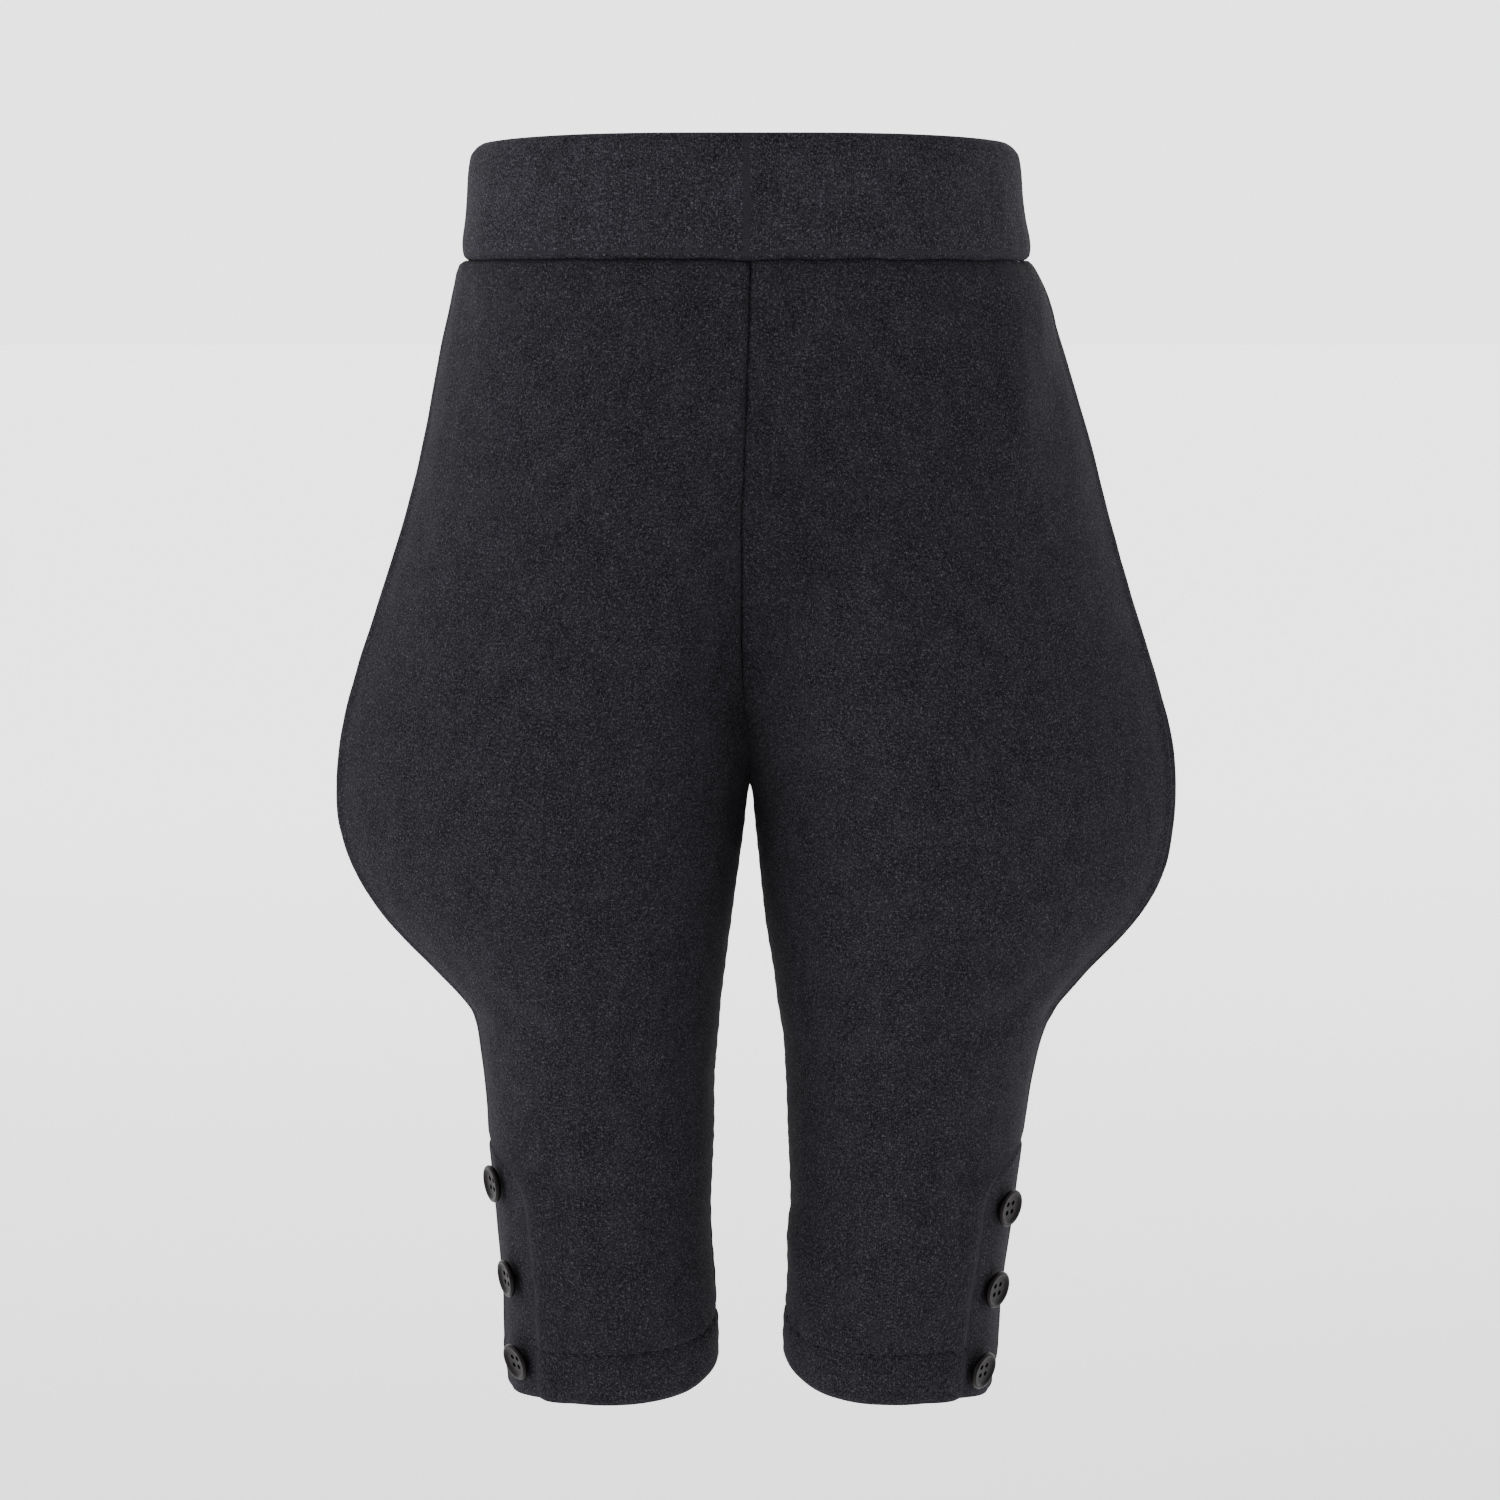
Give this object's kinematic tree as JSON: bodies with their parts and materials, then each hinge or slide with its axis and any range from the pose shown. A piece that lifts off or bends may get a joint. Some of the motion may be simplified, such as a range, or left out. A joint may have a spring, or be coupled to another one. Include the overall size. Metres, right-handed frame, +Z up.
{
  "type": "riding breeches",
  "caption": "Pull-on knit riding breeches for a toddler, with a deep folded waistband, flared hips, slim lower legs and buttoned hem vents, filled out as worn.",
  "frame": {"origin": "middle of the waist opening, 18 mm below the waistband's top edge, where the wearer holds the breeches up", "axes": "+Z up along the body, -Y to the wearer's front, +X to the wearer's left"},
  "size_m": [0.2725, 0.1522, 0.4016],
  "materials": {
    "knit": "charcoal melange double knit, matt with a soft pale nap",
    "button": "near-black moulded plastic, satin gloss"
  },
  "bodies": {
    "root": {"waistband": "knit", "front_left": "knit", "back_left": "knit", "button_strip_left": "knit", "button_left_1": "button", "button_left_2": "button", "button_left_3": "button", "front_right": "knit", "back_right": "knit", "button_strip_right": "knit", "button_right_1": "button", "button_right_2": "button", "button_right_3": "button"}
  },
  "joints": []
}
